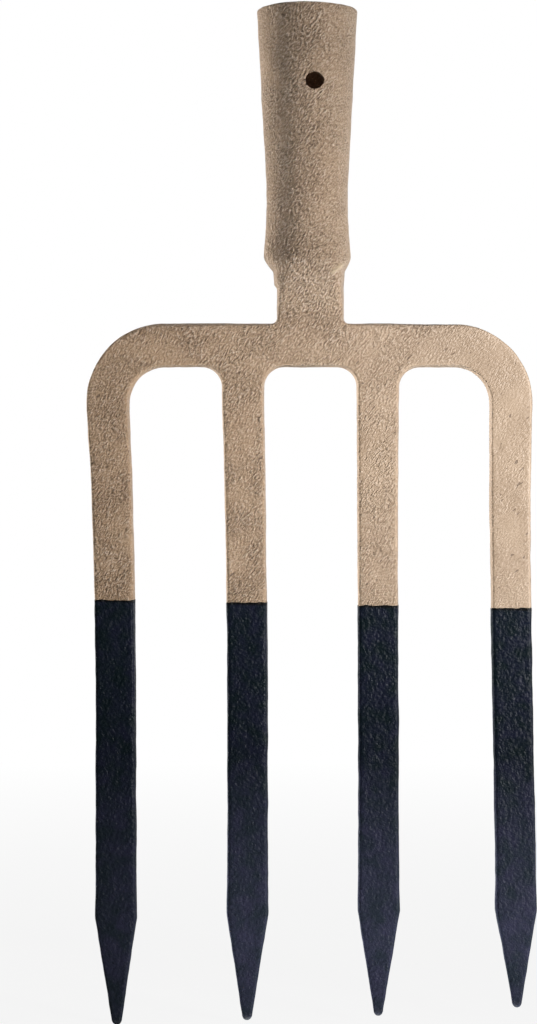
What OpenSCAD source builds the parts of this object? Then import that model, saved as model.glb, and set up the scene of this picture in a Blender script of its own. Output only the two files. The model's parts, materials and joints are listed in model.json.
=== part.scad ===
// Forged garden fork head: four flat tines on a bar, and a tapered round socket for a wooden handle.
// The socket's mouth is centred on the origin, +Z runs up out of the socket and the tines point down.
// The working face looks along -Y. Left and right are as seen from that side. Millimetres and degrees.

/* [Socket] */
// Outside diameter of the socket at its mouth
mouth_d = 43; // [40:0.5:50]
// Outside diameter of the socket at its waist, the narrowest place
waist_d = 35; // [32:0.5:38]
// Outside diameter of the socket at its foot, where it swells again
foot_d = 37.4; // [34:0.2:42]
// Depth of the waist below the mouth
waist_depth = 82; // [70:1:90]
// Length of the socket from the mouth to the foot
socket_len = 106; // [100:1:125]
// Wall thickness at the mouth
mouth_wall = 2.6; // [2:0.1:4]
// Wall thickness at the waist
waist_wall = 3; // [2:0.1:5]
// Depth of the hollow that takes the handle
hollow_depth = 92; // [70:1:96]
// Rounding of the floor of the hollow
hollow_round = 7; // [2:0.5:10]
// Rounding of the outer edge of the rim
rim_round = 1; // [0.2:0.1:1.4]

/* [Fixing hole] */
// Diameter of the hole for the screw that holds the handle
fix_hole_d = 7.5; // [4:0.5:10]
// Depth of the hole's centre below the mouth
fix_hole_depth = 33; // [15:1:60]
// How far round to the right of the front the hole is punched
fix_hole_turn = 9; // [-40:1:40]

/* [Neck] */
// Length of the neck from the socket's foot to the top of the bar
neck_len = 28.4; // [24:0.1:40]
// Width of the neck
neck_w = 28.7; // [24:0.1:33]
// How far the neck sits to the right of the socket's axis
neck_shift = 1.3; // [-3:0.1:3]
// Height of the shoulder under the socket's foot, where the neck draws in
neck_shoulder_h = 5.5; // [3:0.1:8]
// How far the forging's flash stands out on the upper left of the neck
neck_lip = 1.1; // [0:0.1:2]
// Radius of the fillets between the neck and the bar
neck_fillet = 2.3; // [0.5:0.1:4]

/* [Bar] */
// Height of the bar from its top edge to the roof of the gaps between the tines
bar_h = 18.8; // [14:0.1:26]
// Thickness of the bar and of the tine roots
bar_t = 12.5; // [9:0.1:16]
// Outer radius of the two rounded shoulders
bar_shoulder_r = 34; // [20:0.5:38]
// How far the right shoulder sits below the left one
bar_fall = 0.4; // [-2:0.1:2]
// How far the shoulders stand out beyond the outer sides of the tine roots
bar_shoulder_out = 0.4; // [0:0.1:2]
// Radius inside the gap, beside each outer tine
outer_corner_r = 15.5; // [6:0.5:18]
// Radius inside the gap, beside each inner tine
inner_corner_r = 8.4; // [4:0.2:14]
// How far the bar and the tine roots lean back from the socket's axis, in degrees
lean = 4; // [0:0.5:8]

/* [Tines] */
// Distance between the centres of neighbouring tines
tine_pitch = 57; // [50:0.5:64]
// How far the row of tines sits to the right of the socket's axis
tine_row_shift = 2.5; // [-4:0.1:4]
// Length of the longest tine, from the roof of the gap to the tip
tine_len = 281.8; // [220:0.1:340]
// Width of an outer tine where it leaves the bar
outer_root_w = 18.5; // [16:0.1:22]
// Width of an inner tine where it leaves the bar
inner_root_w = 18.2; // [16:0.1:22]
// Width of a tine in the middle of its blade, the narrowest place above the point
tine_w = 17.3; // [14:0.1:20]
// Width of a tine at the heel, where its point begins
heel_w = 17.9; // [15:0.1:22]
// Thickness of a tine at the heel
heel_t = 7.5; // [5:0.1:9]
// How far the middle of a tine stands behind a straight line from root to tip
tine_bow = 6; // [0:0.5:12]

/* [Points] */
// Length of the point of the longest tine, from the heel to the tip
point_len = 45; // [30:0.5:60]
// Width of the blunt tip
tip_w = 4; // [2:0.1:7]
// Thickness of the blunt tip
tip_t = 3; // [1.5:0.1:4.5]
// Length over which the tip is rounded off
tip_round = 2.4; // [1:0.1:4]

/* [Forging] */
// Draft of the forged sides away from the parting line, in degrees
draft = 4.5; // [0:0.5:8]
// Rounding of the long edges
edge_r = 1.2; // [0.4:0.1:2]

/* [Dip] */
// Height of the dipped paint above the longest tip, in the middle of the row
dip_h = 180; // [120:1:220]
// Slope of the paint line across the row, down to the right, in degrees
dip_slope = 1.2; // [-3:0.1:3]
// Thickness of the dipped coat
coat_t = 0.15; // [0.1:0.05:0.8]

/* [Hidden] */

bronze = [0.68, 0.59, 0.50];
bronze_dark = [0.60, 0.51, 0.42];
navy = [0.14, 0.16, 0.20];

// Each tine, from left to right: how much shorter it is than the longest one
tine_short = [0, 1.9, 3.6, 7.1];
// and how much shorter its point is
point_short = [0, 0, 0.5, 3.5];
// and how far its centreline wanders to the right, at the root, at one third, at two thirds and at the tip
tine_sway = [
    [-2.8, -0.1, 0.5, 1.4],
    [-1.6, -0.1, 0.3, 0.2],
    [-0.6, -0.4, -0.2, -0.5],
    [-0.3, 0.1, 1.5, 1.9]];

// Steps along each curve of the socket's side
socket_steps = 10;
// How far the control points of those curves stand off, as shares of a curve's length: along the
// taper and the swell, above the waist and above the foot
taper_arm = 0.45;
waist_arm = 0.2;
foot_arm = 0.135;
// Turn of each step round the rim and round the floor of the hollow
round_step = 22.5;
// Chamfer inside the rim of the socket
rim_chamfer = 0.5;
// Steps in a rounded edge of the flat forgings, and in the rounder sections of the neck
edge_steps = 3;
neck_steps = 8;
// Steps in the arcs of the bar's outline, and in the fillets of the neck
arc_steps = 12;
fillet_steps = 4;
// Rings along a tine above the paint line, below it, in its point and round its tip
rings_bare = 8;
rings_dipped = 8;
rings_point = 4;
rings_tip = 3;
// Lengths over which a tine widens to its root and to its heel
root_blend = 130;
heel_blend = 26;
// Rings along the neck
rings_neck = 16;
// How much wider the neck still is below its shoulder, and the share of the neck where it draws in
neck_draw = 0.8;
draw_part = 0.25;
// Where the flash on the neck's left ends, and over what share of the neck
lip_part = 0.45;
lip_step = 0.07;
// Straight tine root that the bar carries below the largest corner radius
root_run = 3.5;
// Largest rounding of a tine's edges, as a share of its width or thickness
edge_share = 0.3;
// How far round the tip its rounding goes before it is cut flat, in degrees
tip_turn = 80;

bar_top = -(socket_len + neck_len);
gap_roof = bar_top - bar_h;
neck_cut = bar_top + neck_fillet;
root_cut = min(gap_roof - max(outer_corner_r, inner_corner_r), bar_top - bar_shoulder_r - max(bar_fall, 0))
    - root_run;
longest_tip = gap_roof - tine_len;
// Length of the longest tine below the cut at its root
reach = root_cut - longest_tip;

function ease(x) = x <= 0 ? 0 : x >= 1 ? 1 : x * x * (3 - 2 * x);
function square_from(x) = x > 0 ? x * x : 0;
function mix(a, b, u) = a + (b - a) * u;

// Middle of the bar's thickness, front to back, at a height z
function bar_y(z) = (neck_cut - z) * tan(lean);

// The half outline of a forged section, front to back, as [inset from the parting line's width, y]
function edge_levels(t, r, steps) =
    let (
        side_h = t / 2 - r,
        drawn_in = side_h * tan(draft),
        turns = [for (j = [0:steps - 1]) 90 * (j + 0.5) / steps],
        back = [for (a = turns) [drawn_in + r * (1 - cos(a)), side_h + r * sin(a)]]
    )
    concat(
        [for (j = [steps - 1:-1:0]) [back[j][0], -back[j][1]]],
        [[0, 0]],
        back);

// One closed ring of a forged section: width w at the parting line, thickness t, edges rounded by r
function ring(w, t, r, steps, centre) =
    let (levels = edge_levels(t, r, steps), top = len(levels) - 1)
    concat(
        [for (l = levels) centre + [w / 2 - l[0], l[1], 0]],
        [for (k = [top:-1:0]) centre + [-w / 2 + levels[k][0], levels[k][1], 0]]);

// A closed solid through a list of rings, with its two ends filled by the triangles of cap.
// The rings before the turn run back up a hollow skin, and take the other diagonal, so that
// they lie on the faces of the solid that they cover.
module loft(rings, cap, turn = 0) {
    n = len(rings[0]);
    last = len(rings) - 1;
    points = [for (r = rings) each r];
    sides = [for (k = [0:last - 1], j = [0:n - 1])
        let (a = k * n + j, b = k * n + (j + 1) % n, c = a + n, d = b + n)
        each k < turn ? [[a, b, c], [b, d, c]] : [[a, b, d], [a, d, c]]];
    first_end = [for (t = cap) [t[2], t[1], t[0]]];
    last_end = [for (t = cap) [for (j = t) last * n + j]];
    polyhedron(points, concat(sides, first_end, last_end));
}

// Triangles across a strip between two runs of points, both listed away from its first rung
function ladder(run, other) =
    [for (k = [0:len(run) - 2])
        each [[run[k], run[k + 1], other[k + 1]], [run[k], other[k + 1], other[k]]]];

// Triangles that fill a ring, from its front to its back
function ring_cap(steps) =
    let (side = 2 * steps + 1)
    ladder([for (k = [0:side - 1]) k], [for (k = [0:side - 1]) 2 * side - 1 - k]);

// Socket

// A curve from p to q, drawn by the control points that stand off its two ends by their arms
function bend(p, p_arm, q, q_arm, steps) =
    [for (k = [1:steps]) let (u = k / steps, v = 1 - u)
        v * v * v * p + 3 * v * v * u * (p + p_arm) + 3 * v * u * u * (q + q_arm) + u * u * u * q];

// Half width of the hollow at a depth below the mouth
function hollow_r(depth) =
    mix(mouth_d / 2 - mouth_wall, waist_d / 2 - waist_wall, depth / waist_depth);

mouth = [mouth_d / 2, -rim_round];
waist = [waist_d / 2, -waist_depth];
foot = [foot_d / 2, -socket_len];
upright = [0, 1];
swell_len = socket_len - waist_depth;

socket_profile = concat(
    [for (a = [90:-round_step:0]) [mouth_d / 2 - rim_round * (1 - cos(a)), -rim_round * (1 - sin(a))]],
    bend(mouth, (waist - mouth) * taper_arm, waist, upright * waist_depth * waist_arm, socket_steps),
    bend(waist, -upright * swell_len * taper_arm, foot, upright * swell_len * foot_arm, socket_steps),
    [[0, -socket_len], [0, -hollow_depth]],
    [for (a = [-90:round_step:0])
        [hollow_r(hollow_depth) - hollow_round * (1 - cos(a)), -hollow_depth + hollow_round * (1 + sin(a))]],
    [[hollow_r(rim_chamfer), -rim_chamfer], [hollow_r(0) + rim_chamfer, 0]]);

module socket() {
    color(bronze)
        difference() {
            rotate_extrude($fn = 96) polygon(socket_profile);
            translate([0, 0, -fix_hole_depth])
                rotate([90, 0, fix_hole_turn])
                    cylinder(h = mouth_d, d = fix_hole_d, $fn = 48);
        }
}

// Neck

neck_run = -socket_len - neck_cut;
shoulder_part = neck_shoulder_h / neck_run;

// Half width of the neck on one side, where edge is its distance from the socket's axis lower down
function neck_half(u, edge, lip) =
    u < shoulder_part ? mix(foot_d / 2, edge + lip + neck_draw, u / shoulder_part)
        : edge + neck_draw * (1 - ease((u - shoulder_part) / draw_part))
            + lip * (1 - ease((u - lip_part) / lip_step));

neck_rings = [for (k = [0:rings_neck])
    let (
        u = k / rings_neck,
        left = neck_half(u, neck_w / 2 - neck_shift, neck_lip),
        right = neck_half(u, neck_w / 2 + neck_shift, 0),
        w = left + right,
        t = mix(foot_d, bar_t, ease(u)),
        r = mix(min(w, t) / 2, edge_r, 1 - pow(1 - u, 2))
    )
    ring(w, t, r, neck_steps, [(right - left) / 2, 0, mix(-socket_len, neck_cut, u)])];

module neck() {
    color(bronze) loft(neck_rings, ring_cap(neck_steps));
}

// Bar

// The nominal centre of tine i in the row, its width at the root and the place of each side there
function tine_place(i) = tine_row_shift + (i - 1.5) * tine_pitch;
function root_w(i) = i == 0 || i == 3 ? outer_root_w : inner_root_w;
function root_side(i, side) = tine_place(i) + tine_sway[i][0] + side * root_w(i) / 2;

// Points of an arc with the direction out of the metal: hollow is -1 inside a corner, 1 on a shoulder
function arc(centre, r, from, to, steps, hollow) =
    [for (k = [0:steps]) let (a = mix(from, to, k / steps))
        [centre + r * [cos(a), sin(a)], hollow * [cos(a), sin(a)]]];

function root_ends(i) = [[[root_side(i, 1), root_cut], [1, 0]], [[root_side(i, -1), root_cut], [-1, 0]]];

// The corners at both ends of the gap to the left of tine i, from right to left
function gap_corners(i) =
    let (
        r_right = i == 3 ? outer_corner_r : inner_corner_r,
        r_left = i == 1 ? outer_corner_r : inner_corner_r
    )
    concat(
        arc([root_side(i, -1) - r_right, gap_roof - r_right], r_right, 0, 90, arc_steps, -1),
        arc([root_side(i - 1, 1) + r_left, gap_roof - r_left], r_left, 90, 180, arc_steps, -1));

bar_right = root_side(3, 1) + bar_shoulder_out;
bar_left = root_side(0, -1) - bar_shoulder_out;
neck_right = neck_shift + neck_w / 2;
neck_left = neck_shift - neck_w / 2;

bar_outline = concat(
    arc([neck_right + neck_fillet, neck_cut], neck_fillet, 180, 270, fillet_steps, -1),
    arc([bar_right - bar_shoulder_r, bar_top - bar_fall - bar_shoulder_r], bar_shoulder_r, 90, 0, arc_steps, 1),
    root_ends(3), gap_corners(3),
    root_ends(2), gap_corners(2),
    root_ends(1), gap_corners(1),
    root_ends(0),
    arc([bar_left + bar_shoulder_r, bar_top - bar_shoulder_r], bar_shoulder_r, 180, 90, arc_steps, 1),
    arc([neck_left - neck_fillet, neck_cut], neck_fillet, 270, 360, fillet_steps, -1));

// The outline drawn in by the inset of each level of the section, from back to front
bar_rings = [for (level = edge_levels(bar_t, edge_r, edge_steps))
    [for (p = bar_outline) let (q = p[0] - level[0] * p[1]) [q[0], bar_y(q[1]) - level[1], q[1]]]];

// Places in the outline: down the right side of tine i to its root, and down its left side
arc_points = arc_steps + 1;
fillet_points = fillet_steps + 1;
outline_last = len(bar_outline) - 1;
function root_place(i) = fillet_points + arc_points + (3 - i) * (2 * arc_points + 2);
function right_run(i) = [for (k = [0:arc_points]) root_place(i) - arc_points + k];
function left_run(i) = [for (k = [0:arc_points]) root_place(i) + arc_points + 1 - k];

// The bar's face: a strip down each root and up the neck, and the stretch between roof and top
roof_line = [for (i = [3:-1:0]) each [if (i < 3) right_run(i)[0], if (i > 0) left_run(i)[0]]];
top_line = [left_run(0)[0], outline_last - fillet_steps, fillet_steps, right_run(3)[0]];
bar_cap = concat(
    [for (i = [0:3]) each ladder(right_run(i), left_run(i))],
    ladder([for (k = [0:fillet_steps]) k], [for (k = [0:fillet_steps]) outline_last - k]),
    [for (k = [0:4]) [right_run(3)[0], roof_line[k], roof_line[k + 1]]],
    [for (k = [0:2]) [roof_line[5], top_line[k], top_line[k + 1]]]);

module crossbar() {
    color(bronze) loft(bar_rings, bar_cap);
}

// Tines

function tine_reach(i) = reach - tine_short[i];
function tine_point(i) = point_len - point_short[i];
function dip_height(i) = longest_tip + dip_h - (i - 1.5) * tine_pitch * tan(dip_slope);

// The centreline's wander: the cubic through the four values of tine_sway
function sway(i, u) =
    let (s = tine_sway[i], a = 3 * u, b = a - 1, c = a - 2, d = a - 3)
    -s[0] * b * c * d / 6 + s[1] * a * c * d / 2 - s[2] * a * b * d / 2 + s[3] * a * b * c / 6;

function blade_w(i, s, heel) =
    tine_w + (root_w(i) - tine_w) * square_from(1 - s / root_blend)
        + (heel_w - tine_w) * square_from(1 - (heel - s) / heel_blend);

// Stations down tine i as [distance below the root, width, thickness], grown by a coat's thickness
function stations(i, grow) =
    let (
        end = tine_reach(i) - tip_round,
        heel = tine_reach(i) - tine_point(i),
        dip = root_cut - dip_height(i),
        blade = concat(
            [for (k = [0:rings_bare - 1]) dip * k / rings_bare],
            [for (k = [0:rings_dipped]) mix(dip, heel, k / rings_dipped)])
    )
    concat(
        [for (s = blade) [s, blade_w(i, s, heel) + 2 * grow, mix(bar_t, heel_t, s / heel) + 2 * grow]],
        [for (k = [1:rings_point]) let (u = k / rings_point)
            [mix(heel, end, u), mix(heel_w, tip_w, u) + 2 * grow, mix(heel_t, tip_t, u) + 2 * grow]],
        [for (k = [1:rings_tip]) let (a = tip_turn * k / rings_tip)
            [end + (tip_round + grow) * sin(a), (tip_w + 2 * grow) * cos(a), (tip_t + 2 * grow) * cos(a)]]);

function tine_rings(i, grow) =
    [for (st = stations(i, grow))
        let (
            s = st[0],
            z = root_cut - s,
            x = tine_place(i) + sway(i, s / tine_reach(i)),
            y = bar_y(z) - 4 * tine_bow * pow(s / reach, 2),
            r = min(edge_r + grow, edge_share * min(st[1], st[2]))
        )
        ring(st[1], st[2], r, edge_steps, [x, y, z])];

module tine(i) {
    color(bronze_dark) loft(tine_rings(i, 0), ring_cap(edge_steps));
}

module outer_tine_left() {
    tine(0);
}

module inner_tine_left() {
    tine(1);
}

module inner_tine_right() {
    tine(2);
}

module outer_tine_right() {
    tine(3);
}

// Dipped coats: each covers its tine from the paint line round the tip, face to face with the steel

module dip_coat(i) {
    steel = tine_rings(i, 0);
    skin = tine_rings(i, coat_t);
    last = len(steel) - 1;
    inside = [for (k = [last:-1:rings_bare]) steel[k]];
    outside = [for (k = [rings_bare:last]) skin[k]];
    color(navy) loft(concat(inside, outside), ring_cap(edge_steps), len(inside) - 1);
}

module dip_coat_outer_left() {
    dip_coat(0);
}

module dip_coat_inner_left() {
    dip_coat(1);
}

module dip_coat_inner_right() {
    dip_coat(2);
}

module dip_coat_outer_right() {
    dip_coat(3);
}

socket();
neck();
crossbar();
outer_tine_left();
inner_tine_left();
inner_tine_right();
outer_tine_right();
dip_coat_outer_left();
dip_coat_inner_left();
dip_coat_inner_right();
dip_coat_outer_right();
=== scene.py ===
# A forged garden fork head in its finish: tan bronze lacquer all over, and dark dipped paint on the tines.
# Metres. The socket's mouth is at the origin, +Z runs up out of it and the working face looks along -Y.
# Left and right are as seen from in front of that face.

import json
from math import atan2, cos, hypot, pi, radians, sin, sqrt, tan

import bmesh
import bpy
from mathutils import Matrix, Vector, noise


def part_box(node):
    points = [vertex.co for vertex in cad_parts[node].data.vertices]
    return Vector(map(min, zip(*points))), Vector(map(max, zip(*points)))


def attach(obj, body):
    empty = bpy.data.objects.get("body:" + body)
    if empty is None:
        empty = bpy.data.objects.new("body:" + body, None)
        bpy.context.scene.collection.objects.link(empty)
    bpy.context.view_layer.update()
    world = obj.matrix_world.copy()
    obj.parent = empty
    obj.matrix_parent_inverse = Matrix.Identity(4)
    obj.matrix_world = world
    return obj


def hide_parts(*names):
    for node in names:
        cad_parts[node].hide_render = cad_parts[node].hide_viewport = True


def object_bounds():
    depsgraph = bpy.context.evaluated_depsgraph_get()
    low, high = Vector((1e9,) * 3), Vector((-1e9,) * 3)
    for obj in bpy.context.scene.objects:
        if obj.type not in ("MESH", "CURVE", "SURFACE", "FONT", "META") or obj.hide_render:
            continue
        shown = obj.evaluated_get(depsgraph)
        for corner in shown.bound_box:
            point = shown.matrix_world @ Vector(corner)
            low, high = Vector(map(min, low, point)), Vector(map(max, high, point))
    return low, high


MM = 0.001

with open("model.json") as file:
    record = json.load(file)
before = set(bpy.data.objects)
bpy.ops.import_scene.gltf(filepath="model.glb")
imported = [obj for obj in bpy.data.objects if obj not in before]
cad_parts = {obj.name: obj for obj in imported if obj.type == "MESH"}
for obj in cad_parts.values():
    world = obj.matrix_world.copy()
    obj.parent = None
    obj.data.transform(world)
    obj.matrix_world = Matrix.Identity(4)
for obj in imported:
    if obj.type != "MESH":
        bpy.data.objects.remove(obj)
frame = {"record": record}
cad_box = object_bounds()


# Sizes

# The frame gives the socket's mouth and foot, the cuts at the neck and the tine roots, and the tips
MOUTH_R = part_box("socket")[1].x
FOOT_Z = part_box("socket")[0].z
NECK_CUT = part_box("neck")[0].z
ROOT_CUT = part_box("crossbar")[0].z
TINES = ["outer_tine_left", "inner_tine_left", "inner_tine_right", "outer_tine_right"]
COATS = ["dip_coat_outer_left", "dip_coat_inner_left", "dip_coat_inner_right", "dip_coat_outer_right"]

# Socket: the radius at its waist and its foot, the walls, hollow and rim, and how far the arms of the two
# curves down its side reach, as shares of their runs
WAIST_R = 17.5 * MM
WAIST_Z = -82 * MM
FOOT_R = 18.7 * MM
MOUTH_WALL = 2.6 * MM
WAIST_WALL = 3 * MM
HOLLOW_DEPTH = 92 * MM
HOLLOW_ROUND = 7 * MM
RIM_ROUND = 1 * MM
RIM_CHAMFER = 0.5 * MM
TAPER_ARM = 0.45
WAIST_ARM = 0.2
FOOT_ARM = 0.135

# Neck: its width, its place to the right, the shoulder where it draws in, the flash on its left, and a fold
# of steel on its right shoulder, from one end to the other
NECK_W = 28.7 * MM
NECK_SHIFT = 1.3 * MM
NECK_SHOULDER_H = 6.2 * MM
SHOULDER_CURVE = 1.4
NECK_DRAW = 0.35 * MM
DRAW_PART = 0.25
NECK_LIP = 1.1 * MM
LIP_PART = 0.45
LIP_STEP = 0.07
NECK_FILLET = 2.3 * MM
FOLD = (Vector((10.2, -113.8)) * MM, Vector((14.6, -110.4)) * MM)
FOLD_W = 1.3 * MM
FOLD_H = 1.1 * MM
FOLD_WAY = Vector((0.6, -0.8, 0))

# Bar: height, thickness, shoulders, corners of the gaps, and how far it leans back
BAR_H = 18.8 * MM
BAR_T = 12.5 * MM
SHOULDER_R = 34 * MM
SHOULDER_OUT = 0.4 * MM
BAR_FALL = 0.4 * MM
OUTER_CORNER_R = 15.5 * MM
INNER_CORNER_R = 8.4 * MM
LEAN = radians(4)
BAR_TOP = NECK_CUT - NECK_FILLET
GAP_ROOF = BAR_TOP - BAR_H

# Tines, from left to right: width at the root, length of the point, and how far the centreline wanders
# to the right at the root, at one third, at two thirds and at the tip
PITCH = 57 * MM
ROW_SHIFT = 2.5 * MM
ROOT_W = [18.5 * MM, 18.2 * MM, 18.2 * MM, 18.5 * MM]
POINT_LEN = [45 * MM, 45 * MM, 44.5 * MM, 41.5 * MM]
SWAY = [
    [-2.8 * MM, -0.1 * MM, 0.5 * MM, 1.4 * MM],
    [-1.6 * MM, -0.1 * MM, 0.3 * MM, 0.2 * MM],
    [-0.6 * MM, -0.4 * MM, -0.2 * MM, -0.5 * MM],
    [-0.3 * MM, 0.1 * MM, 1.5 * MM, 1.9 * MM],
]

# Every tine: its blade, the heel where its point starts, the tip, the bow, which is how far its curve stands
# off a straight line at half its length, and how far the root and the heel blend into the blade
BLADE_W = 17.3 * MM
HEEL_W = 17.9 * MM
HEEL_T = 7.5 * MM
TIP_W = 4 * MM
TIP_T = 3 * MM
TIP_ROUND = 2.4 * MM
TIP_TURN = radians(80)
BOW = 6 * MM
ROOT_BLEND = 130 * MM
HEEL_BLEND = 26 * MM
REACH = ROOT_CUT - min(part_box(tine)[0].z for tine in TINES)

# Forged edges: the draft of the sides away from the parting line, and the rounding, which is tightest on
# the bar and grows over the first part of a tine. Near a tip it is at most a share of the section.
DRAFT = tan(radians(6.5))
EDGE_R = 1.2 * MM
BAR_EDGE_W = 0.9 * MM
BAR_EDGE_T = 1.2 * MM
EDGE_FADE = 40 * MM
EDGE_SHARE = 0.3

# The bar's top edge is hammered over on the front, most on the left of the neck
ROLL_W = 2.1 * MM
ROLL_T = 3.4 * MM
ROLL_RIGHT = 0.45

# Dipped coats: thickness, how far the paint line wanders up and down, the size of its wander, and how far
# down the coat that is felt
COAT_T = 0.15 * MM
RAGGED = 0.5 * MM
RAGGED_SIZE = 3 * MM
RAGGED_FADE = 4 * MM

# The paint line at the middle of the head, and how it falls to the right
DIP_LINE = -255.05 * MM
DIP_SLOPE = 1.2 / 57

# How bare the paint has worn at each tip, and how far up
TIP_WEAR = [0.25, 1, 0.6, 0.5]
WEAR_LEN = 3.5 * MM

# Fineness of the meshes. A tine is cut into rings in two goes, each part of the first one again.
SOCKET_SIDES = 208
SOCKET_RINGS = 100
HOLLOW_RINGS = 24
CURVE_STEPS = 24
ROUND_STEPS = 6
RIM_STEPS = 4
CHAMFER_STEPS = 2
HOLE_SIDES = 48
NECK_RINGS = 34
FILLET_STEPS = 8
INNER_CORNER_STEPS = 20
OUTER_CORNER_STEPS = 28
SHOULDER_STEPS = 40
EDGE_STEPS = 5
GRID = 1.25 * MM
TINE_PARTS = (11, 21)
TINE_RINGS = TINE_PARTS[0] * TINE_PARTS[1]
TIP_RINGS = 5
WIDTH_CUTS = 12
SIDE_CUTS = 3

# Keeps a division away from nought
TINY = 1e-9


# Small helpers for modelling

def only(obj):
    """Selects one object alone and makes it the active one."""
    bpy.ops.object.select_all(action="DESELECT")
    obj.select_set(True)
    bpy.context.view_layer.objects.active = obj


def named(name):
    """The object just added, with its place and size put into its mesh."""
    obj = bpy.context.object
    obj.name = name
    obj.data.name = name
    only(obj)
    bpy.ops.object.transform_apply(location=True, rotation=True, scale=True)
    return obj


def open_mesh(obj):
    """Goes into edit mode with nothing selected."""
    only(obj)
    bpy.ops.object.mode_set(mode="EDIT")
    bpy.ops.mesh.select_all(action="DESELECT")


def close_mesh():
    bpy.ops.object.mode_set(mode="OBJECT")


def pick(obj, kind, rule):
    """In edit mode, selects the vertices, edges or faces that pass the rule."""
    bpy.ops.mesh.select_mode(type=kind)
    bpy.ops.mesh.select_all(action="DESELECT")
    mesh = bmesh.from_edit_mesh(obj.data)
    parts = {"VERT": mesh.verts, "EDGE": mesh.edges, "FACE": mesh.faces}[kind]
    for part in parts:
        if rule(part):
            part.select_set(True)
    mesh.select_flush_mode()
    bmesh.update_edit_mesh(obj.data)


def near(a, b, slack=0.01 * MM):
    return abs(a - b) < slack


def radius(vert):
    return hypot(vert.co.x, vert.co.y)


def run_of(edge):
    """The vector along an edge, from one end to the other."""
    return edge.verts[1].co - edge.verts[0].co


def lies_along(edge, axis):
    run = run_of(edge)
    return abs(run[axis]) > 0.999 * run.length


def lies_between(edge, left, right):
    return all(left < vert.co.x < right for vert in edge.verts)


def reshape(obj, rule):
    for vert in obj.data.vertices:
        vert.co = rule(vert.co)
    obj.data.update()


def fill_ends(obj):
    """Closes the flat ends where a piece meets its neighbour."""
    open_mesh(obj)
    bpy.ops.mesh.select_mode(type="EDGE")
    bpy.ops.mesh.select_non_manifold(extend=False, use_wire=False, use_multi_face=False,
                                     use_non_contiguous=False, use_verts=False)
    bpy.ops.mesh.fill_holes(sides=0)
    bpy.ops.mesh.select_all(action="SELECT")
    bpy.ops.mesh.normals_make_consistent(inside=False)
    close_mesh()


def mark(obj, name, rule):
    """Stores a number at each vertex, which a finish reads."""
    marks = obj.data.attributes.new(name, "FLOAT", "POINT")
    for vert in obj.data.vertices:
        marks.data[vert.index].value = rule(vert.co)


def mix(a, b, share):
    return a + (b - a) * share


def ease(x):
    """Goes smoothly from 0 to 1 as x does, and stays there outside."""
    x = min(max(x, 0), 1)
    return x * x * (3 - 2 * x)


def square_from(x):
    return max(x, 0) ** 2


def bar_y(z):
    """Middle of the bar's thickness, front to back, at a height."""
    return (NECK_CUT - z) * tan(LEAN)


# Forging marks that show as shape

def wave_texture(name, size):
    texture = bpy.data.textures.new(name, "CLOUDS")
    texture.noise_scale = size
    texture.noise_depth = 1
    return texture


WAVES = wave_texture("forging waves", 16 * MM)
DENTS = wave_texture("hammer dents", 4.5 * MM)
WAVE_HEIGHT = 0.55 * MM
DENT_HEIGHT = 0.22 * MM


def forge(obj):
    """Pushes the skin in and out as a hammered forging's is, alike on both sides of a joint."""
    only(obj)
    for texture, height in ((WAVES, WAVE_HEIGHT), (DENTS, DENT_HEIGHT)):
        push = obj.modifiers.new(texture.name, "DISPLACE")
        push.texture = texture
        push.strength = height
        bpy.ops.object.modifier_apply(modifier=push.name)


# Scale pits in the front face, as x, z, radius and depth in millimetres. They fade out at twice the radius.
PITS = [
    (24.0, -137.2, 1.3, 0.5),
    (27.9, -140.2, 1.6, 0.6),
    (33.9, -140.6, 1.4, 0.4),
    (81.6, -187.5, 1.6, 0.5),
    (-79.5, -205.0, 1.8, 0.4),
    (-28.0, -222.0, 1.7, 0.4),
    (29.0, -231.0, 1.5, 0.35),
]


def pitted(co):
    """A point of the front face, pushed in where a scale pit lies."""
    for x, z, r, depth in PITS:
        away = hypot(co.x - x * MM, co.z - z * MM) / (r * MM)
        if away < 2 and co.y < bar_y(co.z):
            co = co + Vector((0, depth * MM * (1 - ease(away / 2)), 0))
    return co


# Socket

def curve_to(start, start_arm, end, end_arm):
    """Points along a smooth curve after its start, whose arms pull it at both ends."""
    points = []
    for step in range(1, CURVE_STEPS + 1):
        u = step / CURVE_STEPS
        v = 1 - u
        points.append(v ** 3 * start + 3 * v * v * u * (start + start_arm)
                      + 3 * v * u * u * (end + end_arm) + u ** 3 * end)
    return points


# The socket's side as points of radius and height, from under the rim to the foot
MOUTH = Vector((MOUTH_R, -RIM_ROUND))
WAIST = Vector((WAIST_R, WAIST_Z))
FOOT = Vector((FOOT_R, FOOT_Z))
SOCKET_SIDE = ([MOUTH]
               + curve_to(MOUTH, (WAIST - MOUTH) * TAPER_ARM, WAIST, Vector((0, -WAIST_Z * WAIST_ARM)))
               + curve_to(WAIST, Vector((0, FOOT_Z - WAIST_Z)) * TAPER_ARM,
                          FOOT, Vector((0, WAIST_Z - FOOT_Z)) * FOOT_ARM))


def outer_r(z):
    """Outside radius of the socket at a height."""
    for upper, lower in zip(SOCKET_SIDE, SOCKET_SIDE[1:]):
        if z >= lower.y:
            return mix(upper.x, lower.x, max(0, (upper.y - z) / (upper.y - lower.y)))
    return FOOT_R


def hollow_r(z):
    return mix(MOUTH_R - MOUTH_WALL, WAIST_R - WAIST_WALL, z / WAIST_Z)


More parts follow.
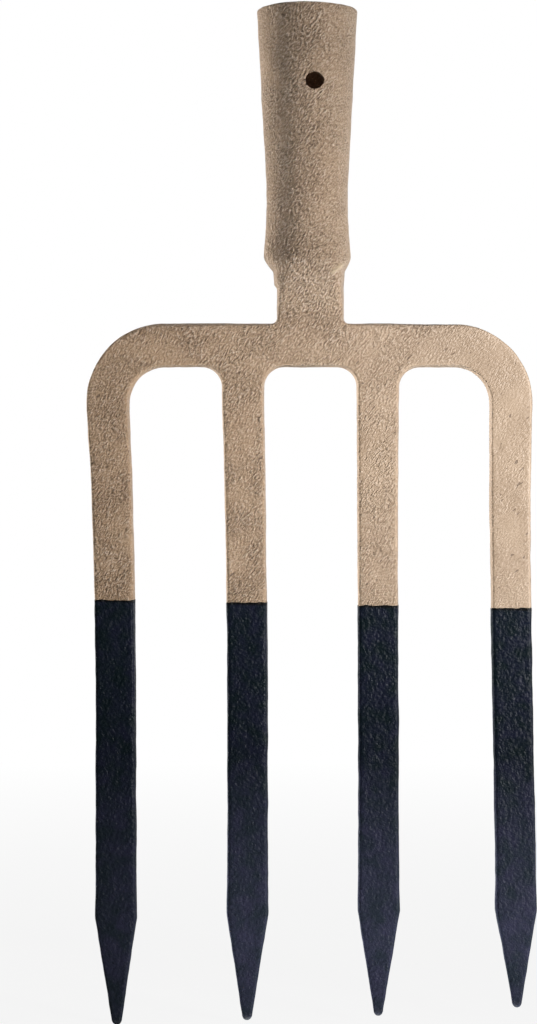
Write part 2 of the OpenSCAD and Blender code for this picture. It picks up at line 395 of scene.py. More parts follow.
# Fixing hole: its place from the record, how far it runs to a point on its right, and the height and width
# of the lip round it, which is full on the right and only a share of that above and below
HOLE = next(m for m in frame["record"]["mounts"] if m["name"] == "fixing_hole")
HOLE_R = HOLE["dims"]["r_mm"] * MM
HOLE_AXIS = Vector(HOLE["axis"]).normalized()
HOLE_RIGHT = Vector((-HOLE_AXIS.y, HOLE_AXIS.x, 0))
HOLE_Z = HOLE["pos_m"][2]
HOLE_POINT = 0.16
HOLE_LIP = 0.35 * MM
HOLE_LIP_W = 1.1 * MM
HOLE_LIP_SHARE = 0.55


def punched(co):
    """A point of the outside, raised in the lip that the punch left round the fixing hole."""
    if co.dot(HOLE_AXIS) < 0:
        return co
    across = co.dot(HOLE_RIGHT)
    away = hypot(across, co.z - HOLE_Z)
    lift = HOLE_LIP * (1 - ease(abs(away - HOLE_R) / HOLE_LIP_W))
    return co + HOLE_AXIS * lift * mix(HOLE_LIP_SHARE, 1, across / max(away, TINY))


def make_socket():
    """A cylinder, hollowed, rounded at its rim, cut into rings, tapered, forged and punched."""
    bpy.ops.mesh.primitive_cylinder_add(vertices=SOCKET_SIDES, radius=MOUTH_R, depth=-FOOT_Z,
                                        location=(0, 0, FOOT_Z / 2))
    socket = named("forged_socket")
    inner_r = MOUTH_R - MOUTH_WALL
    floor_r = hollow_r(-HOLLOW_DEPTH)
    shrink = floor_r / inner_r
    open_mesh(socket)
    pick(socket, "FACE", lambda f: f.normal.z > 0.9)
    bpy.ops.mesh.inset(thickness=MOUTH_WALL)
    bpy.ops.mesh.extrude_region_move(TRANSFORM_OT_translate={"value": (0, 0, -HOLLOW_DEPTH)})
    bpy.ops.transform.resize(value=(shrink, shrink, 1))
    pick(socket, "EDGE",
         lambda e: all(near(v.co.z, -HOLLOW_DEPTH) and near(radius(v), floor_r) for v in e.verts))
    bpy.ops.mesh.bevel(offset=HOLLOW_ROUND, segments=ROUND_STEPS, affect="EDGES", clamp_overlap=False)
    pick(socket, "EDGE", lambda e: all(near(v.co.z, 0) and near(radius(v), MOUTH_R) for v in e.verts))
    bpy.ops.mesh.bevel(offset=RIM_ROUND, segments=RIM_STEPS, affect="EDGES", clamp_overlap=False)
    pick(socket, "EDGE", lambda e: all(near(v.co.z, 0) and near(radius(v), inner_r) for v in e.verts))
    bpy.ops.mesh.bevel(offset=RIM_CHAMFER, segments=CHAMFER_STEPS, affect="EDGES", clamp_overlap=False)
    # The outside is cut into rings first. After that, only the hollow has edges as long as this.
    long_run = -WAIST_Z / 2
    pick(socket, "EDGE", lambda e: abs(run_of(e).z) > long_run and near(radius(e.verts[0]), MOUTH_R))
    bpy.ops.mesh.subdivide(number_cuts=SOCKET_RINGS)
    pick(socket, "EDGE", lambda e: abs(run_of(e).z) > long_run)
    bpy.ops.mesh.subdivide(number_cuts=HOLLOW_RINGS)
    pick(socket, "FACE", lambda f: f.normal.z < -0.9)
    bpy.ops.mesh.delete(type="FACE")
    close_mesh()

    def tapered(co):
        r = hypot(co.x, co.y)
        if not near(r, MOUTH_R):
            return co
        factor = outer_r(co.z) / r
        return Vector((co.x * factor, co.y * factor, co.z))

    reshape(socket, tapered)
    forge(socket)
    reshape(socket, punched)
    fill_ends(socket)
    punch_hole(socket)
    # The bore is marked so that the lacquer paints it lighter, as painted light falling into the socket
    mark(socket, "inside",
         lambda co: co.z < -RIM_CHAMFER and hypot(co.x, co.y) < hollow_r(co.z) + MOUTH_WALL / 4)
    return socket


def punch_hole(socket):
    """Cuts the fixing hole through the front wall, a little pointed on its right."""
    turn = Vector((0, 0, 1)).rotation_difference(HOLE_AXIS).to_euler()
    place = HOLE_AXIS * MOUTH_R + Vector((0, 0, HOLE_Z))
    bpy.ops.mesh.primitive_cylinder_add(vertices=HOLE_SIDES, radius=HOLE_R, depth=MOUTH_R,
                                        location=place, rotation=turn)
    punch = named("punch")

    def pointed(co):
        across = co.dot(HOLE_RIGHT)
        drop = co.z - HOLE_Z
        point = HOLE_POINT * max(0, across / HOLE_R) ** 3
        return co + HOLE_RIGHT * HOLE_R * point - Vector((0, 0, drop * point))

    reshape(punch, pointed)
    only(socket)
    cut = socket.modifiers.new("fixing hole", "BOOLEAN")
    cut.operation = "DIFFERENCE"
    cut.object = punch
    bpy.ops.object.modifier_apply(modifier=cut.name)
    bpy.data.objects.remove(punch)


# Neck

def section_reach(turn, half_w, half_t, r, draft):
    """How far a forged section reaches from its centre, in the direction of a turn from +X."""
    along = abs(cos(turn))
    across = abs(sin(turn))
    slant = sqrt(1 + draft * draft)
    centre = Vector((half_w - (half_t - r) * draft - r * slant, half_t - r))
    flat = half_t / max(across, TINY)
    if flat * along <= centre.x:
        return flat
    side = half_w / (along + across * draft)
    if side * across <= centre.y + r * draft / slant:
        return side
    toward = Vector((along, across)).dot(centre)
    return toward + sqrt(max(0, toward * toward - centre.length_squared + r * r))


def neck_half(u, edge, lip):
    """The neck's half width at a share of its length, with the flash as a lip on its upper part."""
    shoulder = NECK_SHOULDER_H / (FOOT_Z - NECK_CUT)
    if u < shoulder:
        return mix(FOOT_R, edge + lip + NECK_DRAW, (max(u, 0) / shoulder) ** SHOULDER_CURVE)
    drawn = NECK_DRAW * (1 - ease((u - shoulder) / DRAW_PART))
    return edge + drawn + lip * (1 - ease((u - LIP_PART) / LIP_STEP))


def fold_share(co):
    """How near a point of the neck is to the crest of the fold, from 0 to 1."""
    start, end = FOLD
    place = Vector((co.x, co.z))
    run = end - start
    along = min(max((place - start).dot(run) / run.length_squared, 0), 1)
    away = (place - start - run * along).length
    return 1 - ease(away / FOLD_W) if co.y < 0 else 0


def make_neck():
    """An open cylinder, drawn down from the socket's round foot to the bar's flat section."""
    length = FOOT_Z - NECK_CUT
    bpy.ops.mesh.primitive_cylinder_add(vertices=SOCKET_SIDES, radius=FOOT_R, depth=length,
                                        location=(0, 0, FOOT_Z - length / 2))
    neck = named("forged_neck")
    open_mesh(neck)
    pick(neck, "EDGE", lambda e: lies_along(e, 2))
    bpy.ops.mesh.subdivide(number_cuts=NECK_RINGS)
    pick(neck, "FACE", lambda f: abs(f.normal.z) > 0.9)
    bpy.ops.mesh.delete(type="FACE")
    close_mesh()

    def drawn_down(co):
        u = (FOOT_Z - co.z) / length
        left = neck_half(u, NECK_W / 2 - NECK_SHIFT, NECK_LIP)
        right = neck_half(u, NECK_W / 2 + NECK_SHIFT, 0)
        half_w = (left + right) / 2
        half_t = mix(FOOT_R, BAR_T / 2, ease(u))
        r = mix(min(half_w, half_t), EDGE_R, 1 - (1 - u) ** 2)
        r = mix(r, (BAR_EDGE_W + BAR_EDGE_T) / 2, ease(mix(-1, 1, u)))
        turn = atan2(co.y, co.x)
        reach = section_reach(turn, half_w, half_t, r, DRAFT)
        return Vector(((right - left) / 2 + reach * cos(turn), reach * sin(turn), co.z))

    reshape(neck, drawn_down)
    forge(neck)
    # The crest is marked so that the lacquer paints it paler, as a painted highlight
    mark(neck, "fold", fold_share)
    reshape(neck, lambda co: co + FOLD_WAY * FOLD_H * fold_share(co))
    fill_ends(neck)
    return neck


# Bar

def tine_place(i):
    """Where a tine stands from left to right, before it wanders."""
    return ROW_SHIFT + (i - (len(TINES) - 1) / 2) * PITCH


def root_side(i, side):
    """Where a side of a tine's root is: -1 for its left side and 1 for its right."""
    return tine_place(i) + SWAY[i][0] + side * ROOT_W[i] / 2


def rolled(co):
    """A point of the bar's front, set back where the top edge is hammered over."""
    if co.y > bar_y(co.z):
        return co
    left = ease((NECK_SHIFT - NECK_W / 2 - NECK_FILLET - co.x) / ROLL_W)
    right = ease((co.x - NECK_SHIFT - NECK_W / 2 - NECK_FILLET) / ROLL_W)
    share = square_from((co.z - BAR_TOP + ROLL_W) / ROLL_W) * (left + ROLL_RIGHT * right)
    front = (bar_y(co.z) - co.y) / (BAR_T / 2)
    return co + Vector((0, ROLL_T * share * front, 0))


# How much too long the bar's stubs toward the neck and tines are modelled, before grid() cuts them off
SPARE = 5 * MM


def make_bar():
    """The bar's outline is modelled flat, rounded at its corners, and raised to the front and the back."""
    left = root_side(0, -1) - SHOULDER_OUT
    right = root_side(3, 1) + SHOULDER_OUT
    neck_left = NECK_SHIFT - NECK_W / 2
    neck_right = NECK_SHIFT + NECK_W / 2
    bpy.ops.mesh.primitive_plane_add(size=1, rotation=(pi / 2, 0, 0))
    plate = bpy.context.object
    plate.scale = (right - left, BAR_H, 1)
    plate.location = ((left + right) / 2, 0, (BAR_TOP + GAP_ROOF) / 2)
    bar = named("forged_crossbar")
    open_mesh(bar)

    # Cuts at both sides of the neck and of each tine's root
    sides = [root_side(i, side) for i in range(len(TINES)) for side in (-1, 1)]
    for x in sides[1:-1] + [neck_left, neck_right]:
        bpy.ops.mesh.select_all(action="SELECT")
        bpy.ops.mesh.bisect(plane_co=(x, 0, 0), plane_no=(1, 0, 0))

    # Stubs of the tines and of the neck
    roots = [(sides[2 * i], sides[2 * i + 1]) for i in range(len(TINES))]
    roots[0] = (left, roots[0][1])
    roots[-1] = (roots[-1][0], right)
    slack = 0.1 * MM
    pick(bar, "EDGE", lambda e: lies_along(e, 0) and near(e.verts[0].co.z, GAP_ROOF)
         and any(lies_between(e, lo - slack, hi + slack) for lo, hi in roots))
    bpy.ops.mesh.extrude_region_move(TRANSFORM_OT_translate={"value": (0, 0, ROOT_CUT - SPARE - GAP_ROOF)})
    pick(bar, "EDGE", lambda e: lies_along(e, 0) and near(e.verts[0].co.z, BAR_TOP)
         and lies_between(e, neck_left - slack, neck_right + slack))
    bpy.ops.mesh.extrude_region_move(TRANSFORM_OT_translate={"value": (0, 0, NECK_FILLET + SPARE)})
    bpy.ops.mesh.select_all(action="SELECT")
    bpy.ops.mesh.dissolve_limited(angle_limit=radians(1))

    # The top falls to the right, the shoulders stand out, and every corner is rounded
    pick(bar, "VERT", lambda v: near(v.co.x, right) and near(v.co.z, BAR_TOP))
    bpy.ops.transform.translate(value=(0, 0, -BAR_FALL))
    for x, inward in ((right, -1), (left, 1)):
        pick(bar, "VERT", lambda v: near(v.co.x, x) and v.co.z < GAP_ROOF)
        bpy.ops.transform.translate(value=(inward * SHOULDER_OUT, 0, 0))
    round_corners(bar, [neck_left, neck_right], BAR_TOP, NECK_FILLET, FILLET_STEPS)
    round_corners(bar, sides[2:6], GAP_ROOF, INNER_CORNER_R, INNER_CORNER_STEPS)
    round_corners(bar, [sides[1], sides[6]], GAP_ROOF, OUTER_CORNER_R, OUTER_CORNER_STEPS)
    round_corners(bar, [left], BAR_TOP, SHOULDER_R, SHOULDER_STEPS)
    round_corners(bar, [right], BAR_TOP - BAR_FALL, SHOULDER_R, SHOULDER_STEPS)

    raise_sides(bar)
    grid(bar)
    close_mesh()
    reshape(bar, lambda co: Vector((co.x, co.y + bar_y(co.z), co.z)))
    forge(bar)
    reshape(bar, rolled)
    reshape(bar, pitted)
    fill_ends(bar)
    return bar


def round_corners(bar, places, z, r, segments):
    """Rounds the outline's corners at a height."""
    slack = 0.05 * MM
    pick(bar, "VERT", lambda v: near(v.co.z, z, slack) and any(near(v.co.x, x, slack) for x in places))
    bpy.ops.mesh.bevel(offset=r, segments=segments, affect="VERTICES", clamp_overlap=False)


def raise_sides(bar):
    """From the flat outline on the parting line: the drafted sides, the rounded edges and both faces."""
    side_h = BAR_T / 2 - BAR_EDGE_T
    bpy.ops.mesh.select_mode(type="FACE")
    bpy.ops.mesh.select_all(action="SELECT")
    bpy.ops.mesh.inset(thickness=side_h * DRAFT, depth=side_h)
    for step in range(EDGE_STEPS):
        a = pi / 2 * step / EDGE_STEPS
        b = pi / 2 * (step + 1) / EDGE_STEPS
        bpy.ops.mesh.inset(thickness=BAR_EDGE_W * (cos(a) - cos(b)), depth=BAR_EDGE_T * (sin(b) - sin(a)))
    bpy.ops.mesh.select_all(action="SELECT")
    bpy.ops.mesh.duplicate()
    bpy.ops.transform.resize(value=(1, -1, 1), center_override=(0, 0, 0))
    bpy.ops.mesh.select_all(action="SELECT")
    bpy.ops.mesh.remove_doubles(threshold=0.001 * MM)
    bpy.ops.mesh.normals_make_consistent(inside=False)


def grid(bar):
    """Cuts off the spare ends at the joints and cuts the faces into a fine grid."""
    low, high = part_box("crossbar")
    for z, outward in ((NECK_CUT, 1), (ROOT_CUT, -1)):
        bpy.ops.mesh.select_all(action="SELECT")
        bpy.ops.mesh.bisect(plane_co=(0, 0, z), plane_no=(0, 0, outward), clear_outer=True)
    for axis in (0, 2):
        steps = int((high[axis] - low[axis]) / GRID)
        for step in range(1, steps):
            place = Vector((0, 0, 0))
            place[axis] = mix(low[axis], high[axis], step / steps)
            way = Vector((0, 0, 0))
            way[axis] = 1
            bpy.ops.mesh.select_all(action="SELECT")
            bpy.ops.mesh.bisect(plane_co=place, plane_no=way, threshold=0.02 * MM)


# Tines

def sway(i, u):
    """The centreline's wander: the cubic through the tine's four values."""
    a, b, c, d = 3 * u, 3 * u - 1, 3 * u - 2, 3 * u - 3
    s = SWAY[i]
    return -s[0] * b * c * d / 6 + s[1] * a * c * d / 2 - s[2] * a * b * d / 2 + s[3] * a * b * c / 6


def tine_section(i, s, reach):
    """Width and thickness of a tine at a distance below its root, and its edge rounding both ways."""
    end = reach - TIP_ROUND
    heel = reach - POINT_LEN[i]
    if s > end:
        shrink = sqrt(max(0, 1 - ((s - end) / TIP_ROUND) ** 2))
        width, thick = TIP_W * shrink, TIP_T * shrink
    elif s > heel:
        u = (s - heel) / (end - heel)
        width, thick = mix(HEEL_W, TIP_W, u), mix(HEEL_T, TIP_T, u)
    else:
        width = (BLADE_W + (ROOT_W[i] - BLADE_W) * square_from(1 - s / ROOT_BLEND)
                 + (HEEL_W - BLADE_W) * square_from(1 - (heel - s) / HEEL_BLEND))
        thick = mix(BAR_T, HEEL_T, s / heel)
    fade = ease(s / EDGE_FADE)
    limit = EDGE_SHARE * min(width, thick)
    edge_w = min(mix(BAR_EDGE_W, EDGE_R, fade), limit)
    edge_t = min(mix(BAR_EDGE_T, EDGE_R, fade), limit)
    return width, thick, edge_w, edge_t


def fit_half(place, half, edge, new_half, new_edge):
    """Moves a coordinate of a block's section to another section, flat to flat and edge to edge."""
    size = abs(place)
    flat = half - edge
    new_flat = new_half - new_edge
    if size <= flat:
        size = size * new_flat / flat
    else:
        size = new_flat + (size - flat) * new_edge / edge
    return size if place >= 0 else -size


def make_tine(i):
    """A block with rounded edges, cut into a fine grid and drawn out to the tine's shape."""
    reach = ROOT_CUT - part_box(TINES[i])[0].z
    bpy.ops.mesh.primitive_cube_add(size=1)
    block = bpy.context.object
    block.scale = (ROOT_W[i], BAR_T, 1)
    block.location = (0, 0, -0.5)
    tine = named("forged_" + TINES[i])
    open_mesh(tine)
    pick(tine, "EDGE", lambda e: lies_along(e, 2))
    bpy.ops.mesh.bevel(offset=EDGE_R, segments=EDGE_STEPS, affect="EDGES")
    bpy.ops.mesh.select_all(action="SELECT")
    bpy.ops.mesh.bisect(plane_co=(0, 0, 0), plane_no=(0, 1, 0))
    pick(tine, "EDGE", lambda e: lies_along(e, 0) and near(abs(e.verts[0].co.y), BAR_T / 2))
    bpy.ops.mesh.subdivide(number_cuts=WIDTH_CUTS)
    pick(tine, "EDGE", lambda e: lies_along(e, 1) and near(abs(e.verts[0].co.x), ROOT_W[i] / 2))
    bpy.ops.mesh.subdivide(number_cuts=SIDE_CUTS)
    for parts in TINE_PARTS:
        pick(tine, "EDGE", lambda e: lies_along(e, 2))
        bpy.ops.mesh.subdivide(number_cuts=parts - 1)
    pick(tine, "FACE", lambda f: f.normal.z > 0.9)
    bpy.ops.mesh.delete(type="FACE")
    close_mesh()

    def drawn_out(co):
        ring = round(-co.z * TINE_RINGS)
        last = TINE_RINGS - TIP_RINGS
        if ring <= last:
            s = (reach - TIP_ROUND) * ring / last
        else:
            s = reach - TIP_ROUND + TIP_ROUND * sin(TIP_TURN * (ring - last) / TIP_RINGS)
        width, thick, edge_w, edge_t = tine_section(i, s, reach)
        y = fit_half(co.y, BAR_T / 2, EDGE_R, thick / 2, edge_t)
        x = fit_half(co.x, ROOT_W[i] / 2, EDGE_R, width / 2, edge_w)
        narrowing = min(abs(y), thick / 2 - edge_t) * DRAFT
        x *= 1 - narrowing / (width / 2)
        z = ROOT_CUT - s
        x += tine_place(i) + sway(i, s / reach)
        y += bar_y(z) - 4 * BOW * (s / REACH) ** 2
        return Vector((x, y, z))

    reshape(tine, drawn_out)
    forge(tine)
    reshape(tine, pitted)
    return tine


# Dipped coats

def make_coat(i, tine):
    """A skin over the lower part of a tine, with a slightly ragged upper edge."""
    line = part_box(COATS[i])[1].z
    only(tine)
    bpy.ops.object.duplicate()
    coat = named(COATS[i].replace("dip_coat", "dipped_coat"))
    open_mesh(coat)
    bpy.ops.mesh.select_all(action="SELECT")
    bpy.ops.mesh.bisect(plane_co=(0, 0, line), plane_no=(0, 0, 1), clear_outer=True)
    close_mesh()

    def ragged(co):
        hold = 1 - ease((line - co.z) / RAGGED_FADE)
        wander = noise.noise(Vector((co.x / RAGGED_SIZE, co.y / RAGGED_SIZE, i)))
        return co + Vector((0, 0, hold * RAGGED * wander))

    reshape(coat, ragged)
    skin = coat.modifiers.new("coat", "SOLIDIFY")
    skin.thickness = COAT_T
    skin.offset = 1
    only(coat)
    bpy.ops.object.modifier_apply(modifier=skin.name)
    tip = min(vert.co.z for vert in coat.data.vertices)
    mark(coat, "worn", lambda co: TIP_WEAR[i] * (1 - ease((co.z - tip) / WEAR_LEN)))
    return coat


# Finishes

# The lacquer, with the darker and the lighter of its clouds: warm on the left, and paler on the right as a
# painted highlight where the key lamp falls
WARM = ((0.385, 0.253, 0.153), (0.47, 0.317, 0.195))
LIT_RIGHT_TONES = ((0.385, 0.275, 0.187), (0.47, 0.345, 0.241))
# Painted shade for the grain's low spots, then a painted highlight for its high spots
GRAIN_SHADE_TONE = (0.18, 0.118, 0.076)
GRAIN_HIGHLIGHT_TONE = (0.63, 0.49, 0.38)
NICK_TONE = (0.13, 0.085, 0.055)
# A painted highlight for the fold's crest
FOLD_HIGHLIGHT_TONE = (0.6, 0.47, 0.32)
# Painted light for the inside of the socket, lighter than the lacquer outside
BORE_LIGHT_TONE = (0.7, 0.48, 0.33)

# How the lacquer's grain slants and is drawn out, and the sizes of the grain, the clouds, the coarse patches
# and the nicks
GRAIN_SLANT = radians(-43)
GRAIN_STRETCH = (2.4, 1.6, 1)
GRAIN_SIZE = 0.55 * MM
CLOUD_SIZE = 22 * MM
PATCH_SIZE = 12 * MM
NICK_SIZE = 1.5 * MM

# The paint, with the darker and the lighter of its clouds: plain above, and lighter toward the points as a
# painted reflection
PLAIN_PAINT_TONES = ((0.004, 0.009, 0.012), (0.009, 0.011, 0.024))
REFLECTING_PAINT_TONES = ((0.036, 0.048, 0.07), (0.06, 0.062, 0.112))
# A painted shadow along the paint's upper edge, then the bare steel of worn tips
EDGE_SHADOW_TONE = (0.003, 0.003, 0.003)
BARE_TONE = (0.2, 0.2, 0.2)

# The sizes of the paint's clouds, of the rough steel under it, and of the specks at a worn tip
PAINT_CLOUD_SIZE = 7 * MM
ROUGH_SIZE = 1.5 * MM
SPECK_SIZE = 1.2 * MM

# The colour sockets of a Mix node, which share their names with its number sockets
MIX_A = 6
MIX_B = 7
MIX_RESULT = 2


def wire(tree, kind, settings=None, **sockets):
    """Adds a node, sets it up, and links or sets its inputs by name."""
    made = tree.nodes.new(kind)
    for key, value in (settings or {}).items():
        setattr(made, key, value)
    for key, value in sockets.items():
        socket = made.inputs[int(key[1:]) if key[1:].isdigit() else key.replace("_", " ")]
        if isinstance(value, bpy.types.NodeSocket):
            tree.links.new(value, socket)
        else:
            socket.default_value = value
    return made


def finish(name):
    """A new material, its node tree, its shader and the place on the object."""
    material = bpy.data.materials.new(name)
    material.use_nodes = True
    tree = material.node_tree
    shader = tree.nodes["Principled BSDF"]
    place = wire(tree, "ShaderNodeTexCoord").outputs["Object"]
    return material, tree, shader, place


def scaled(tree, value, low, high, to_low, to_high):
    """The value, moved from one range to another and held inside it."""
    return wire(tree, "ShaderNodeMapRange", Value=value, From_Min=low, From_Max=high,
                To_Min=to_low, To_Max=to_high).outputs["Result"]


def blended(tree, share, a, b):
    """Goes from one colour to the other as the share goes from 0 to 1."""
    node = wire(tree, "ShaderNodeMix", {"data_type": "RGBA"}, Factor=share)
    for socket, colour in ((node.inputs[MIX_A], a), (node.inputs[MIX_B], b)):
        if isinstance(colour, bpy.types.NodeSocket):
            tree.links.new(colour, socket)
        else:
            socket.default_value = (*colour, 1)
    return node.outputs[MIX_RESULT]


def product(tree, a, b):
    return wire(tree, "ShaderNodeMath", {"operation": "MULTIPLY"}, _0=a, _1=b).outputs[0]


def spots(tree, place, size, detail=1):
    """Cloudy noise with spots of about a size, in metres."""
    return wire(tree, "ShaderNodeTexNoise", Vector=place, Scale=1 / size, Detail=detail).outputs["Fac"]


def bronze_lacquer():
    """Satin lacquer over a forged skin. Its grain runs up to the right, and is coarsest on the socket, on
    the left and in patches. Short dark nicks lie along the grain, most of them below the socket."""
    material, tree, shader, place = finish("bronze lacquer")
    slanted = wire(tree, "ShaderNodeMapping", {"vector_type": "TEXTURE"}, Vector=place,
                   Rotation=(0, GRAIN_SLANT, 0), Scale=GRAIN_STRETCH).outputs["Vector"]
    grain = spots(tree, slanted, GRAIN_SIZE)
    cloud = spots(tree, place, CLOUD_SIZE, 3)
    axes = wire(tree, "ShaderNodeSeparateXYZ", Vector=place).outputs

    # 0 on the bar and tines and 1 on the socket, then how coarse the grain is and how strongly its shade and
    # highlight are painted
    high = scaled(tree, axes["Z"], -0.15, -0.12, 0, 1)
    smoothest = scaled(tree, high, 0, 1, 0.6, 0.8)
    coarse = product(tree, scaled(tree, axes["X"], 0, 0.08, 1, 0.35),
                     scaled(tree, spots(tree, place, PATCH_SIZE), 0.36, 0.56, smoothest, 1))
    strong = product(tree, coarse, scaled(tree, high, 0, 1, 0.65, 1))

    # The clouds' tones, paler on the right, with painted shade and painted highlight on the grain, the
    # nicks, a painted highlight on the fold and painted light inside the socket over them
    cloud = scaled(tree, cloud, 0.3, 0.7, 0, 1)
    warm = blended(tree, cloud, *WARM)
    pale = blended(tree, cloud, *LIT_RIGHT_TONES)
    # Painted highlight: the lacquer turns paler toward the right, where the key lamp falls
    tone = blended(tree, scaled(tree, axes["X"], -0.06, 0.06, 0, 1), warm, pale)
    # Painted shade in the grain's low spots and a painted highlight on its high spots
    grain_shade = product(tree, strong, scaled(tree, grain, 0.3, 0.47, 1, 0))
    tone = blended(tree, grain_shade, tone, GRAIN_SHADE_TONE)
    grain_highlight = product(tree, strong, scaled(tree, grain, 0.52, 0.66, 0, 1))
    tone = blended(tree, grain_highlight, tone, GRAIN_HIGHLIGHT_TONE)
    nicks = product(tree, scaled(tree, spots(tree, slanted, NICK_SIZE), 0.7, 0.75, 0, 1),
                    scaled(tree, high, 0, 1, 1, 0.2))
    tone = blended(tree, product(tree, nicks, 0.7), tone, NICK_TONE)
    # Painted highlight: the fold's crest is paler, as if it caught the lamp
    fold = wire(tree, "ShaderNodeAttribute", {"attribute_name": "fold"}).outputs["Fac"]
    tone = blended(tree, fold, tone, FOLD_HIGHLIGHT_TONE)
    # Painted light: the socket's bore is lighter, standing in for light falling into it
    inside = wire(tree, "ShaderNodeAttribute", {"attribute_name": "inside"}).outputs["Fac"]
    tone = blended(tree, inside, tone, BORE_LIGHT_TONE)
    tree.links.new(tone, shader.inputs["Base Color"])

    # The grain stands up in relief, deepest on the socket, and the nicks are cut into it
    height = product(tree, grain, scaled(tree, nicks, 0, 1, 1, 0.5))
    bump = wire(tree, "ShaderNodeBump", Height=height, Strength=coarse,
                Distance=scaled(tree, high, 0, 1, 1.7 * MM, 2.8 * MM))
    tree.links.new(bump.outputs["Normal"], shader.inputs["Normal"])
    shader.inputs["Roughness"].default_value = 0.45
    shader.inputs["Sheen Weight"].default_value = 0.25
    shader.inputs["Sheen Roughness"].default_value = 0.35
    shader.inputs["Sheen Tint"].default_value = (1, 0.8, 0.62, 1)
    return material


def dipped_paint():
    """Blue-black paint. It is lighter toward the points as a painted reflection, less so on the left as
    painted shade, has a painted shadow along its upper edge, and is worn off the very tips."""
    material, tree, shader, place = finish("dipped paint")

    # The height, with the paint line's fall to the right taken out of it
    along = wire(tree, "ShaderNodeVectorMath", {"operation": "DOT_PRODUCT"}, _0=place,
                 _1=(DIP_SLOPE, 0, 1)).outputs["Value"]
    cloud = scaled(tree, spots(tree, place, PAINT_CLOUD_SIZE, 3), 0.35, 0.65, 0, 1)
    plain_paint = blended(tree, cloud, *PLAIN_PAINT_TONES)
    reflecting_paint = blended(tree, cloud, *REFLECTING_PAINT_TONES)
    across = wire(tree, "ShaderNodeSeparateXYZ", Vector=place).outputs["X"]
    # Painted reflection, lighter toward the points, and painted shade that keeps it weaker on the left
    painted_reflection = product(tree, scaled(tree, along, -0.32, -0.4, 0, 1),
                       scaled(tree, across, -0.07, -0.04, 0.5, 1))
    tone = blended(tree, painted_reflection, plain_paint, reflecting_paint)
    # Painted shadow: near-black along the paint's upper edge, as shade under the step of the coat's edge
    thick = scaled(tree, along, DIP_LINE - 1.3 * MM, DIP_LINE - 0.5 * MM, 0, 1)
    tone = blended(tree, thick, tone, EDGE_SHADOW_TONE)
    worn = wire(tree, "ShaderNodeAttribute", {"attribute_name": "worn"}).outputs["Fac"]
    worn = product(tree, worn, scaled(tree, spots(tree, place, SPECK_SIZE), 0.35, 0.6, 0.2, 1))
    tone = blended(tree, worn, tone, BARE_TONE)
    tree.links.new(tone, shader.inputs["Base Color"])
    rough = spots(tree, place, ROUGH_SIZE, 2)
    bump = wire(tree, "ShaderNodeBump", Height=rough, Strength=1, Distance=0.7 * MM)
    tree.links.new(bump.outputs["Normal"], shader.inputs["Normal"])
    shader.inputs["Roughness"].default_value = 0.4
    shader.inputs["Specular IOR Level"].default_value = 0.12
    return material


# The piece in its place

def dress(piece, node, material):
    """Gives a piece its finish and puts it in the place of its node."""
    piece.data.materials.clear()
    piece.data.materials.append(material)
    only(piece)
    bpy.ops.object.shade_smooth_by_angle(angle=radians(50))
    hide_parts(node)
    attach(piece, "root")


def make_head():
    lacquer = bronze_lacquer()
    paint = dipped_paint()
    dress(make_socket(), "socket", lacquer)
    dress(make_neck(), "neck", lacquer)
    dress(make_bar(), "crossbar", lacquer)
    for i in range(len(TINES)):
        tine = make_tine(i)
        coat = make_coat(i, tine)
        fill_ends(tine)
        dress(tine, TINES[i], lacquer)
        dress(coat, COATS[i], paint)


# Camera, light and floor

# The camera looks level at the front. Its view is this high at the head, and is shifted so that the
# camera's axis comes at the photograph's column.
CAMERA = Vector((0.77, -1075, -215.4)) * MM
VIEW_H = 440.3 * MM
SENSOR = 36
PICTURE_W = 537
PICTURE_H = 1024
AXIS_COLUMN = 309

# How bright the studio is on the camera's side and overhead, where the white behind the head is 1
FRONT_LEVEL = 0.02
OVERHEAD_LEVEL = 0.2

FLOOR_Z = cad_box[0][2]
FLOOR_SIZE = 8


def set_camera():
    data = bpy.data.cameras.new("camera")
    data.sensor_width = SENSOR
    data.lens = SENSOR * -CAMERA.y / VIEW_H
    data.shift_x = (PICTURE_W / 2 - AXIS_COLUMN) / PICTURE_H
    camera = bpy.data.objects.new("camera", data)
    bpy.context.scene.collection.objects.link(camera)
    camera.location = CAMERA
    camera.rotation_euler = (pi / 2, 0, 0)
    bpy.context.scene.camera = camera


def set_lamp(name, place, aim, size, power, spread):
    data = bpy.data.lights.new(name, "AREA")
    data.shape = "RECTANGLE"
    data.size, data.size_y = size
    data.energy = power
    data.spread = spread
    lamp = bpy.data.objects.new(name, data)
    bpy.context.scene.collection.objects.link(lamp)
    lamp.location = place
    lamp.rotation_euler = (Vector(aim) - Vector(place)).to_track_quat("-Z", "Y").to_euler()
    return lamp


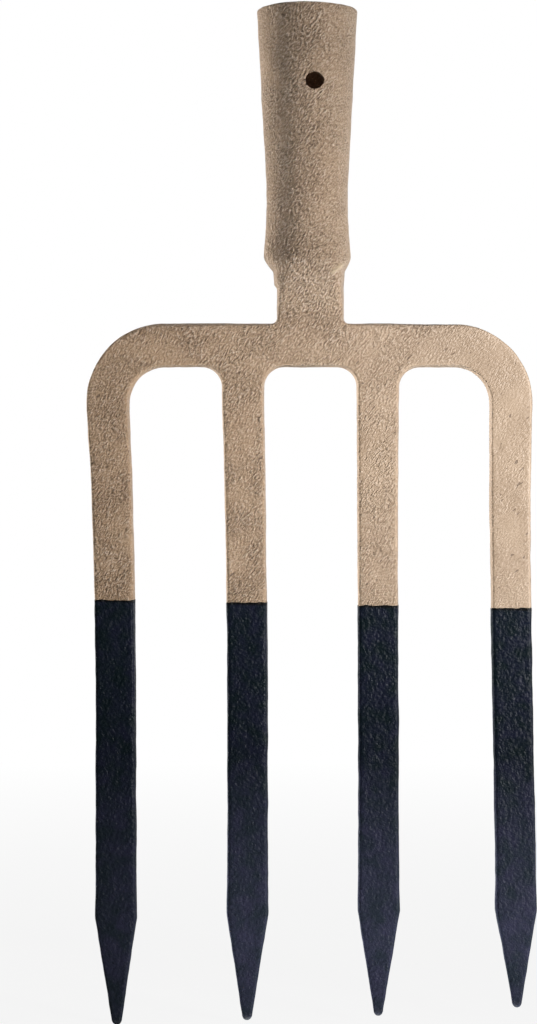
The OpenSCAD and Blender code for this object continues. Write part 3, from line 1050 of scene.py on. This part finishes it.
def set_light():
    """A soft lamp from the right of the front, faint ones from behind on the left and from straight below,
    and a white studio."""
    set_lamp("key lamp", place=(0.645, -0.625, -0.16), aim=(0.11, 0, -0.165), size=(0.28, 0.35),
             power=0.89, spread=radians(40))
    rim = set_lamp("rim lamp", place=(-0.43, 0.255, -0.17), aim=(0, 0, -0.17), size=(0.15, 0.5),
                   power=0.6, spread=radians(25))
    rim.visible_glossy = False
    bounce = set_lamp("bounce lamp", place=(0.02, 0, FLOOR_Z + 1 * MM), aim=(0.02, 0, 0), size=(0.2, 0.1),
                      power=0.065, spread=radians(25))
    bounce.data.color = (0.8, 0.9, 1)
    bounce.visible_camera = False
    bounce.visible_glossy = False

    # The studio is white behind the head, and everywhere to the camera
    world = bpy.data.worlds.new("studio")
    bpy.context.scene.world = world
    world.use_nodes = True
    tree = world.node_tree
    back = tree.nodes["Background"]
    back.inputs["Color"].default_value = (1, 1, 1, 1)
    toward = wire(tree, "ShaderNodeTexCoord").outputs["Generated"]
    axes = wire(tree, "ShaderNodeSeparateXYZ", Vector=toward).outputs
    overhead = scaled(tree, axes["Z"], 0.1, 0.6, 1, OVERHEAD_LEVEL)
    behind = product(tree, scaled(tree, axes["Y"], -0.05, 0.3, 0, 1), overhead)
    camera = wire(tree, "ShaderNodeLightPath").outputs["Is Camera Ray"]
    shown = wire(tree, "ShaderNodeMath", {"operation": "MAXIMUM"}, _0=camera, _1=behind).outputs[0]
    tree.links.new(scaled(tree, shown, 0, 1, FRONT_LEVEL, 1), back.inputs["Strength"])


def set_floor():
    """A pale floor under the tips. It goes to the white of the background away from the fork's shadow."""
    bpy.ops.mesh.primitive_plane_add(size=FLOOR_SIZE, location=(0, 0, FLOOR_Z))
    floor = named("floor")
    material, tree, shader, place = finish("pale floor")
    shader.inputs["Base Color"].default_value = (0.85, 0.85, 0.84, 1)
    shader.inputs["Roughness"].default_value = 0.9
    away = wire(tree, "ShaderNodeVectorMath", {"operation": "LENGTH"}, _0=place).outputs["Value"]
    white = scaled(tree, away, 0.3, 1.2, 0.85, 1)
    camera = wire(tree, "ShaderNodeLightPath").outputs["Is Camera Ray"]
    share = product(tree, white, camera)
    glow = wire(tree, "ShaderNodeEmission", Color=(1, 1, 1, 1), Strength=1)
    mixed = wire(tree, "ShaderNodeMixShader", _0=share, _1=shader.outputs[0], _2=glow.outputs[0])
    tree.links.new(mixed.outputs[0], tree.nodes["Material Output"].inputs["Surface"])
    floor.data.materials.append(material)


set_camera()
make_head()
set_light()
set_floor()
bpy.context.scene.view_settings.view_transform = "Standard"
